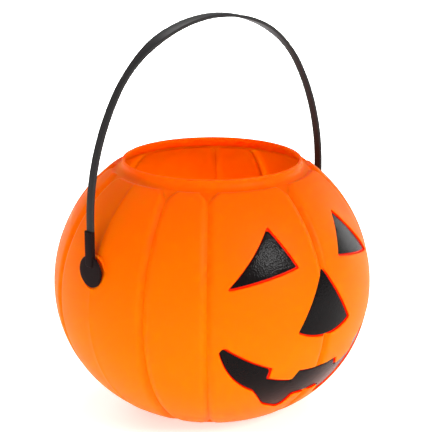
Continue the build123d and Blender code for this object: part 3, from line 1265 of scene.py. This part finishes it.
    def shape(self, shell: bpy.types.Object) -> None:
        """Presses the grooves into the spun form, inside and out, and pads the wall behind the face.

        Args:
            shell: the spun form.
        """
        places = coordinates(shell)
        radius = np.hypot(places[:, 0], places[:, 1])
        height = places[:, 2]
        turn = np.degrees(np.arctan2(places[:, 0], -places[:, 1])) % 360
        turn, across, seam = self.fan(turn, radius)
        drop, inset = self.belly.drop_and_inset(radius, height)
        on_side = (drop > -ON_TOP_ROW) & (drop < self.belly.length + ON_LINE)
        outer = on_side & (np.abs(inset) < ON_SURFACE)
        inner = on_side & (np.abs(inset - self.wall) < ON_SURFACE)
        stand = self.lobes.stand(across, np.maximum(drop, 0))
        below = np.full_like(drop, self.belly.length)
        ridge = self.lobes.stand(across, below) * smooth_step(drop / self.inner_ease)
        fade = smooth_step((self.belly.length - drop) / self.foot_fade)
        press = (self.lobes.depth - np.where(inner, ridge, stand)) * fade
        inset = np.where(outer, press, inset)
        rise = np.minimum(self.seam_rise * fade, self.belly.radius - radius)
        inset = np.where(outer & seam, press - rise, inset)
        inset = np.where(inner, self.wall + press, inset)
        low = height < self.floor_height + self.fillet_limit
        fillet = on_side & low & (inset > self.wall / 2) & ~outer & ~inner
        inset = np.where(fillet, np.maximum(inset, self.wall + press), inset)
        front = inner & (places[:, 1] < 0)
        pad = self.face.recess_depth + self.wall
        spots = np.stack([radius * np.sin(np.radians(turn)), height], axis=1)[front]
        near = np.min([outline.distance(spots) for outline in self.face.outlines.values()], axis=0)
        share = 1 - smooth_step((near - self.pad_near) / (self.pad_far - self.pad_near))
        inset[front] += np.maximum(pad - inset[front], 0) * share
        new_radius, new_height = self.belly.at(np.clip(drop, 0, self.belly.length), inset)
        moved = outer | inner | fillet
        radius = np.where(moved, new_radius, radius)
        places[:, 0] = radius * np.sin(np.radians(turn))
        places[:, 1] = -radius * np.cos(np.radians(turn))
        places[:, 2] = np.where(moved, new_height, height)
        place(shell, places)

    def fan(self, turn: np.ndarray, radius: np.ndarray) -> tuple[np.ndarray, np.ndarray, np.ndarray]:
        """Keeps the grooves as wide towards the foot and the lip as at the widest line.

        Args:
            turn: angles of the spun columns, in degrees.
            radius: distances from the axis.

        Returns:
            New angles, distances from the middle of the nearest groove, and the seams' middle columns.
        """
        edges = np.array([*self.lobes.grooves, 360.0])
        turn = np.where(turn > 360 - ON_EDGE_ANGLE, 0.0, turn)
        index = np.searchsorted(edges, turn + ON_EDGE_ANGLE, side="right") - 1
        index = np.clip(index, 0, len(edges) - 2)
        left, right = edges[index], edges[index + 1]
        band = self.band_angle()
        reach = np.maximum(radius, self.belly.foot_radius)
        spread = np.degrees(np.arcsin(self.lobes.band / reach))
        nearest = np.minimum(turn - left, right - turn)
        aside = self.belly.radius * np.sin(np.radians(np.minimum(nearest, band)))
        offset = np.degrees(np.arcsin(aside / reach))
        share = (turn - left - band) / (right - left - 2 * band)
        in_lobe = left + spread + share * (right - left - 2 * spread)
        by_side = np.where(turn - left < right - turn, left + offset, right - offset)
        made = np.where(nearest > band + ON_EDGE_ANGLE, in_lobe, by_side)
        across = reach * np.sin(np.radians(np.minimum(made - left, right - made)))
        middle = np.abs(np.mod(turn, 180) - self.seam_turns[0]) < ON_SEAM_ANGLE
        return made, across, middle

    def build(self, finishes: dict[ShellFace, bpy.types.Material]) -> bpy.types.Object:
        """Builds the shell, cuts it and dresses it.

        Args:
            finishes: the finish of each kind of face.

        Returns:
            The finished shell.
        """
        shell = self.spin()
        self.shape(shell)
        boss = self.pivot.boss()
        other_boss = mirrored(boss, "other_boss")
        cut(shell, boss, Cut.ADD)
        cut(shell, other_boss, Cut.ADD)
        tools = [self.face.cutter(name) for name in self.face.outlines]
        clearance = self.pivot.clearance()
        tools += [clearance, mirrored(clearance, "other_clearance")]
        for tool in tools:
            cut(shell, tool, Cut.REMOVE)
        clear_slivers(shell)
        self.dress(shell, finishes)
        finish_piece(shell, Body.PAIL, "pail_shell")
        return shell

    def dress(self, shell: bpy.types.Object, finishes: dict[ShellFace, bpy.types.Material]) -> None:
        """Shades the shell smooth, with a crisp line where a recess's lip starts, and dresses it.

        Args:
            shell: the cut shell.
            finishes: the finish of each kind of face.
        """
        smooth(shell, self.crease)
        polygons = shell.data.polygons
        kinds = np.array([polygon.material_index for polygon in polygons])
        around: dict[tuple[int, int], set[int]] = {}
        for polygon, kind in zip(polygons, kinds.tolist()):
            for key in polygon.edge_keys:
                around.setdefault(key, set()).add(kind)
        for edge in shell.data.edges:
            if len(around[edge.key]) > 1 and ShellFace.MOULDED.value in around[edge.key]:
                edge.use_edge_sharp = True
        # Faces that look inwards below the neck get the inside orange, lighter with painted light through
        # the wall
        middle = Vector((0, 0, self.belly.height * MM))
        neck = self.neck_height * MM
        looks_in = np.array([
            (middle - polygon.center).dot(polygon.normal) > 0 and polygon.center.z < neck
            for polygon in polygons
        ])
        kinds[(kinds == ShellFace.MOULDED.value) & looks_in] = ShellFace.INSIDE.value
        shell.data.materials.clear()
        for kind in ShellFace:
            shell.data.materials.append(finishes[kind])
        polygons.foreach_set("material_index", kinds.astype(np.int32))


def bezier(start: Point, pull: Point, end: Point, steps: int) -> list[Point]:
    """Runs along a curve that is pulled towards a point.

    Args:
        start: where the curve starts.
        pull: the point that pulls it.
        end: where it ends.
        steps: pieces of the curve.

    Returns:
        Points along it, with both ends.
    """
    ways = list(zip(start, pull, end))
    return [
        tuple((1 - share) ** 2 * a + 2 * share * (1 - share) * b + share**2 * c for a, b, c in ways)
        for share in np.linspace(0, 1, steps + 1)
    ]


@dataclass
class Handle:
    """The black strap handle: the arch, wider along its grip, and the two snap-in ends. Millimetres."""

    pivot: Pivot
    thickness: float = 2.2
    width: float = 5.9
    grip_width: float = 10.8
    grip_start: float = 40.0
    grip_end: float = 74.0
    rounding: float = 0.7
    rise: float = 148.0
    crown_share: float = 1.05
    arm_share: float = 0.82
    crown_angle: float = 24.0
    leg_angle: float = 58.0
    tenon_length: float = 12.0
    tenon_width: float = 3.8
    tenon_thickness: float = 1.0
    socket_gap: float = 0.05
    sleeve_top_rise: float = 26.0
    sleeve_foot_rise: float = 3.0
    sleeve_foot_rounding: float = 2.0
    sleeve_width: float = 6.6
    sleeve_inner_step: float = 0.6
    sleeve_outer_step: float = 1.5
    tool_reach: float = 4.0
    corner_parts: int = 3
    foot_parts: int = 5
    edge_parts: int = 4
    leg_steps: int = 10
    arm_steps: int = 12
    crown_steps: int = 28
    strap_crease: float = 40.0
    end_crease: float = 35.0

    @property
    def sleeve_top(self) -> float:
        """Height of the sleeves' tops."""
        return self.pivot.height + self.sleeve_top_rise

    def section(self) -> list[Vector]:
        """Draws the strap's section at the top of the left sleeve.

        Returns:
            Points round it, with rounded corners.
        """
        half_x, half_y, soft = self.thickness / 2, self.width / 2, self.rounding
        middle = -self.pivot.strap_middle
        points = []
        for quarter in range(4):
            centre_x = (half_x - soft) * (1 if quarter in (0, 3) else -1)
            centre_y = (half_y - soft) * (1 if quarter in (0, 1) else -1)
            for part in range(self.corner_parts + 1):
                turn = math.pi / 2 * (quarter + part / self.corner_parts)
                x = middle + centre_x + soft * math.cos(turn)
                points.append(Vector((x, centre_y + soft * math.sin(turn), self.sleeve_top)))
        return points

    def arcs(self) -> list[tuple[float, float, int]]:
        """Works out the arch, whose crown, arms and legs meet without a corner.

        Returns:
            Radii, angles in degrees and steps of its arcs from the left leg to the right.
        """
        middle = self.pivot.strap_middle
        crown, arm = self.crown_share * middle, self.arm_share * middle
        crown_sine = math.sin(math.radians(self.crown_angle))
        leg_sine = math.sin(math.radians(self.leg_angle))
        leg = (middle - crown * crown_sine - arm * (leg_sine - crown_sine)) / (1 - leg_sine)
        side = [
            (leg, 90 - self.leg_angle, self.leg_steps),
            (arm, self.leg_angle - self.crown_angle, self.arm_steps),
        ]
        return [*side, (crown, 2 * self.crown_angle, self.crown_steps), *reversed(side)]

    def leg_top(self) -> float:
        """Finds where the straight legs end.

        Returns:
            Their height.
        """
        arcs = self.arcs()
        turn, top = 0.0, 0.0
        for radius, angle, _ in arcs[:2]:
            top += radius * (math.sin(math.radians(turn + angle)) - math.sin(math.radians(turn)))
            turn += angle
        top += arcs[2][0] * (1 - math.sin(math.radians(turn)))
        return self.pivot.height + self.rise - top

    @staticmethod
    def spoke(turn: float) -> Vector:
        """Direction out from an arc's centre, at a turn in degrees from the left leg."""
        return Vector((-math.cos(math.radians(turn)), 0, math.sin(math.radians(turn))))

    def strap(self, finish: bpy.types.Material) -> bpy.types.Object:
        """Spins the strap's section along the arch, widens the grip, adds the tenons and dresses it.

        Args:
            finish: the black.

        Returns:
            The finished strap.
        """
        strap = draw_chain("strap", self.section(), closed=True)
        top = self.leg_top()
        extrude_up(top - self.sleeve_top)
        spot, turn = Vector((-self.pivot.strap_middle, 0, top)), 0.0
        for radius, angle, steps in self.arcs():
            centre = spot - self.spoke(turn) * radius
            bpy.ops.mesh.spin(steps=steps, angle=-math.radians(angle), center=centre * MM, axis=(0, 1, 0))
            turn += angle
            spot = centre + radius * self.spoke(turn)
        extrude_up(self.sleeve_top - top)
        bpy.ops.object.mode_set(mode="OBJECT")
        places = coordinates(strap)
        grip = 1 - smooth_step((np.abs(places[:, 0]) - self.grip_start) / (self.grip_end - self.grip_start))
        places[:, 1] += np.sign(places[:, 1]) * grip * (self.grip_width - self.width) / 2
        place(strap, places)
        for side in (-1, 1):
            self.tenon(strap, side)
        close_up(strap)
        strap.data.materials.append(finish)
        smooth(strap, self.strap_crease)
        finish_piece(strap, Body.HANDLE, "handle_strap")
        return strap

    def tenon(self, strap: bpy.types.Object, side: int) -> None:
        """Closes one foot of the strap and draws it down into a tenon.

        Args:
            strap: the strap, out of edit mode.
            side: sign of the foot's side.
        """
        edit(strap)
        bpy.ops.mesh.select_all(action="DESELECT")
        bpy.ops.object.mode_set(mode="OBJECT")
        places = coordinates(strap)
        foot = (np.abs(places[:, 2] - self.sleeve_top) < ON_LINE) & (places[:, 0] * side > 0)
        strap.data.vertices.foreach_set("select", foot)
        bpy.ops.object.mode_set(mode="EDIT")
        bpy.ops.mesh.edge_face_add()
        extrude_up()
        bpy.ops.object.mode_set(mode="OBJECT")
        places = coordinates(strap)
        chosen = np.array([vertex.select for vertex in strap.data.vertices])
        middle = side * self.pivot.strap_middle
        shift = side * (self.thickness - self.tenon_thickness) / 2
        thinned = (places[chosen, 0] - middle) * self.tenon_thickness / self.thickness
        places[chosen, 0] = middle + shift + thinned
        places[chosen, 1] *= self.tenon_width / self.width
        place(strap, places)
        bpy.ops.object.mode_set(mode="EDIT")
        extrude_up(-self.tenon_length)
        bpy.ops.object.mode_set(mode="OBJECT")

    def block(self, name: str, low: Vector, high: Vector) -> bpy.types.Object:
        """Adds a block and leaves it in edit mode.

        Args:
            name: the block's name.
            low: its lowest corner in millimetres.
            high: its highest corner in millimetres.

        Returns:
            The block.
        """
        deselect()
        bpy.ops.mesh.primitive_cube_add(size=1)
        block = bpy.context.object
        block.name = name
        edit(block)
        bpy.ops.transform.resize(value=(high - low) * MM, center_override=(0, 0, 0))
        bpy.ops.transform.translate(value=(low + high) / 2 * MM)
        return block

    def hollow(self, obj: bpy.types.Object, name: str, low: Vector, high: Vector) -> None:
        """Removes a block from an object.

        Args:
            obj: the object.
            name: the block's name.
            low: its lowest corner in millimetres.
            high: its highest corner in millimetres.
        """
        tool = self.block(name, low, high)
        bpy.ops.object.mode_set(mode="OBJECT")
        cut(obj, tool, Cut.REMOVE)

    def sleeve(self) -> bpy.types.Object:
        """Builds the right sleeve.

        Returns:
            The sleeve, with a round foot and soft outer edges.
        """
        pivot = self.pivot
        foot = pivot.height + self.sleeve_foot_rise
        inner = pivot.strap_middle - self.thickness / 2 + self.sleeve_inner_step
        outer = pivot.strap_middle + self.thickness / 2 + self.sleeve_outer_step
        half = self.sleeve_width / 2
        sleeve = self.block(
            "right_end", Vector((inner, -half, foot)), Vector((outer, half, self.sleeve_top))
        )
        self.choose_edges(sleeve, lambda middle, way: (
            way[0] > ALONG_SHARE and middle[2] < foot + ON_LINE
        ))
        bpy.ops.mesh.bevel(
            offset=self.sleeve_foot_rounding * MM, segments=self.foot_parts, affect="EDGES"
        )
        self.choose_edges(sleeve, lambda middle, way: (
            way[0] < ACROSS_SHARE and middle[0] > outer - ON_LINE
        ))
        bpy.ops.mesh.bevel(offset=self.rounding * MM, segments=self.edge_parts, affect="EDGES")
        bpy.ops.object.mode_set(mode="OBJECT")
        return sleeve

    @staticmethod
    def choose_edges(obj: bpy.types.Object, test: Callable[[np.ndarray, np.ndarray], bool]) -> None:
        """Selects the edges that pass a test of their middle in millimetres and their direction.

        Args:
            obj: the object, in edit mode.
            test: function of an edge's middle and of its direction's positive parts.
        """
        bpy.ops.mesh.select_mode(type="EDGE")
        bpy.ops.mesh.select_all(action="DESELECT")
        bpy.ops.object.mode_set(mode="OBJECT")
        places = coordinates(obj)
        for edge in obj.data.edges:
            start, end = places[edge.vertices[0]], places[edge.vertices[1]]
            way = np.abs(end - start) / np.linalg.norm(end - start)
            edge.select = bool(test((start + end) / 2, way))
        bpy.ops.object.mode_set(mode="EDIT")

    def ends(self, finish: bpy.types.Material) -> list[bpy.types.Object]:
        """Builds the right end from its sleeve and button, mirrors it and dresses both.

        Args:
            finish: the black.

        Returns:
            The finished ends, the right one first.
        """
        pivot, past = self.pivot, self.tool_reach
        right = self.sleeve()
        cut(right, pivot.button(), Cut.ADD)
        half, reach = pivot.snap_slit / 2, pivot.snap_head_radius
        self.hollow(
            right, "slit", Vector((pivot.boss_inner - 2 * past, -half, pivot.height - reach - past)),
            Vector((pivot.boss_face, half, pivot.height + reach + past)),
        )
        gap = self.socket_gap
        middle = pivot.strap_middle + (self.thickness - self.tenon_thickness) / 2
        half_x, half_y = self.tenon_thickness / 2 + gap, self.tenon_width / 2 + gap
        self.hollow(
            right, "socket",
            Vector((middle - half_x, -half_y, self.sleeve_top - self.tenon_length - gap)),
            Vector((middle + half_x, half_y, self.sleeve_top + past)),
        )
        right.data.materials.clear()
        right.data.materials.append(finish)
        smooth(right, self.end_crease)
        left = mirrored(right, "left_end")
        finish_piece(right, Body.HANDLE, "right_handle_end")
        finish_piece(left, Body.HANDLE, "left_handle_end")
        return [right, left]


@dataclass(frozen=True)
class Lamp:
    """A soft lamp that shows in the sheen, or only fills the shade. Its place and size are in metres."""

    name: str
    spot: tuple[float, float, float]
    size: Point
    watts: float
    in_sheen: bool


@dataclass
class Studio:
    """A white floor, a white surround, soft lamps and the camera at the photograph's place."""

    camera_spot: tuple[float, float, float] = (-0.64764, -0.69053, 0.40337)
    target: tuple[float, float, float] = (0.001906, -0.001797, 0.12793)
    lens: float = 124.35
    sensor_width: float = 36.0
    surround_light: float = 0.37
    white: str = "#FFFFFF"
    lamps: tuple[Lamp, ...] = (
        Lamp("front fill", (0.25, -1.7, 0.3), (1.4, 0.6), 15.0, False),
        Lamp("left fill", (-1.7, -0.5, 0.3), (1.4, 0.6), 22.0, False),
        Lamp("back fill", (0.8, 1.5, 0.4), (1.4, 0.6), 36.0, False),
        Lamp("front sheen", (0.15, -1.5, 1.0), (0.5, 0.5), 14.0, True),
        Lamp("right sheen", (1.6, -0.1, 0.35), (0.6, 0.6), 3.4, True),
        Lamp("top sheen", (0.6, 0.9, 1.3), (0.5, 0.5), 4.0, True),
    )
    floor_size: float = 6.0
    floor_colour: str = "#F6F6F6"
    floor_roughness: float = 0.9
    floor_glint: float = 0.1
    # What the floor lights the pail with, which is less than what the camera sees of it
    floor_light: float = 0.2
    # Distances in metres from the pail's middle and how white the floor looks there, near it and far from it
    floor_near: Point = (0.1, 0.45)
    floor_far: Point = (0.4, 1.0)

    def put(
        self, name: str, data: bpy.types.Camera | bpy.types.Light, spot: tuple[float, float, float]
    ) -> bpy.types.Object:
        """Puts a camera or a lamp at its place and turns it to the pail.

        Args:
            name: the object's name.
            data: the camera or the lamp.
            spot: its place in metres.

        Returns:
            The new object.
        """
        made = bpy.data.objects.new(name, data)
        bpy.context.scene.collection.objects.link(made)
        made.location = spot
        made.rotation_euler = (Vector(self.target) - made.location).to_track_quat("-Z", "Y").to_euler()
        return made

    def camera(self) -> None:
        """Adds the camera."""
        data = bpy.data.cameras.new("camera")
        data.lens = self.lens
        data.sensor_width = self.sensor_width
        bpy.context.scene.camera = self.put("camera", data, self.camera_spot)

    def lamp(self, lamp: Lamp) -> None:
        """Adds a lamp.

        Args:
            lamp: what it is like.
        """
        data = bpy.data.lights.new(lamp.name, "AREA")
        data.shape = "RECTANGLE"
        data.size, data.size_y = lamp.size
        data.energy = lamp.watts
        self.put(lamp.name, data, lamp.spot).visible_glossy = lamp.in_sheen

    def world(self) -> None:
        """Makes the surround: white behind the pail, and an even, dimmer light all round it."""
        world = bpy.data.worlds.new("surround")
        bpy.context.scene.world = world
        world.use_nodes = True
        tree = world.node_tree
        strength = add_node(tree, "ShaderNodeMapRange", {
            "Value": add_node(tree, "ShaderNodeLightPath").outputs["Is Camera Ray"],
            "To Min": self.surround_light, "To Max": 1.0,
        })
        background = tree.nodes["Background"]
        background.inputs["Color"].default_value = linear(self.white)
        tree.links.new(strength.outputs["Result"], background.inputs["Strength"])

    def floor(self) -> None:
        """Lays the floor: matte white card that fades to white away from the pail and keeps its shadow."""
        deselect()
        bpy.ops.mesh.primitive_plane_add(size=self.floor_size)
        floor = bpy.context.object
        floor.name = "floor"
        material = new_material("white card")
        tree = material.node_tree
        way = add_node(tree, "ShaderNodeVectorMath", {
            0: add_node(tree, "ShaderNodeTexCoord").outputs["Object"],
        }, operation="LENGTH")
        white = add_node(tree, "ShaderNodeMapRange", {
            "Value": way.outputs["Value"], "From Min": self.floor_near[0], "From Max": self.floor_far[0],
            "To Min": self.floor_near[1], "To Max": self.floor_far[1],
        })
        glow = add_node(tree, "ShaderNodeMapRange", {
            "Value": add_node(tree, "ShaderNodeLightPath").outputs["Is Camera Ray"],
            "To Min": self.floor_light, "To Max": white.outputs["Result"],
        })
        set_shader(material, {"Emission Strength": glow.outputs["Result"]}, {
            "Base Color": linear(self.floor_colour), "Roughness": self.floor_roughness,
            "Specular IOR Level": self.floor_glint, "Emission Color": linear(self.white),
        })
        floor.data.materials.append(material)

    def build(self) -> None:
        """Sets up the whole studio."""
        bpy.context.scene.view_settings.view_transform = "Standard"
        self.world()
        self.floor()
        for lamp in self.lamps:
            self.lamp(lamp)
        self.camera()


def main() -> None:
    """Builds every piece in order and sets up the studio."""
    logging.basicConfig(level=logging.INFO, format="%(name)s: %(message)s")
    orange = ORANGE.make()
    finishes = {
        ShellFace.MOULDED: orange,
        ShellFace.RECESS_LIP: orange,
        # Painted shade: the deep red of the recess floors
        ShellFace.RECESS_FLOOR: PAINTED_RECESS_GLOW.make(),
        # Painted light: the lighter orange inside, for light through the wall
        ShellFace.INSIDE: PAINTED_LIGHT_THROUGH.make(),
    }
    face_black, strap_black, end_black = FACE_BLACK.make(), STRAP_BLACK.make(), END_BLACK.make()
    belly = Belly()
    face = Face(belly)
    pivot = Pivot(belly)
    handle = Handle(pivot)
    pieces = [PailShell(belly, Lobes(), face, pivot).build(finishes)]
    pieces += [face.fill(name, face_black) for name in face.outlines]
    pieces += [handle.strap(strap_black), *handle.ends(end_black)]
    Studio().build()
    log.info("%d pieces dressed", len(pieces))


if __name__ == "__main__":
    main()
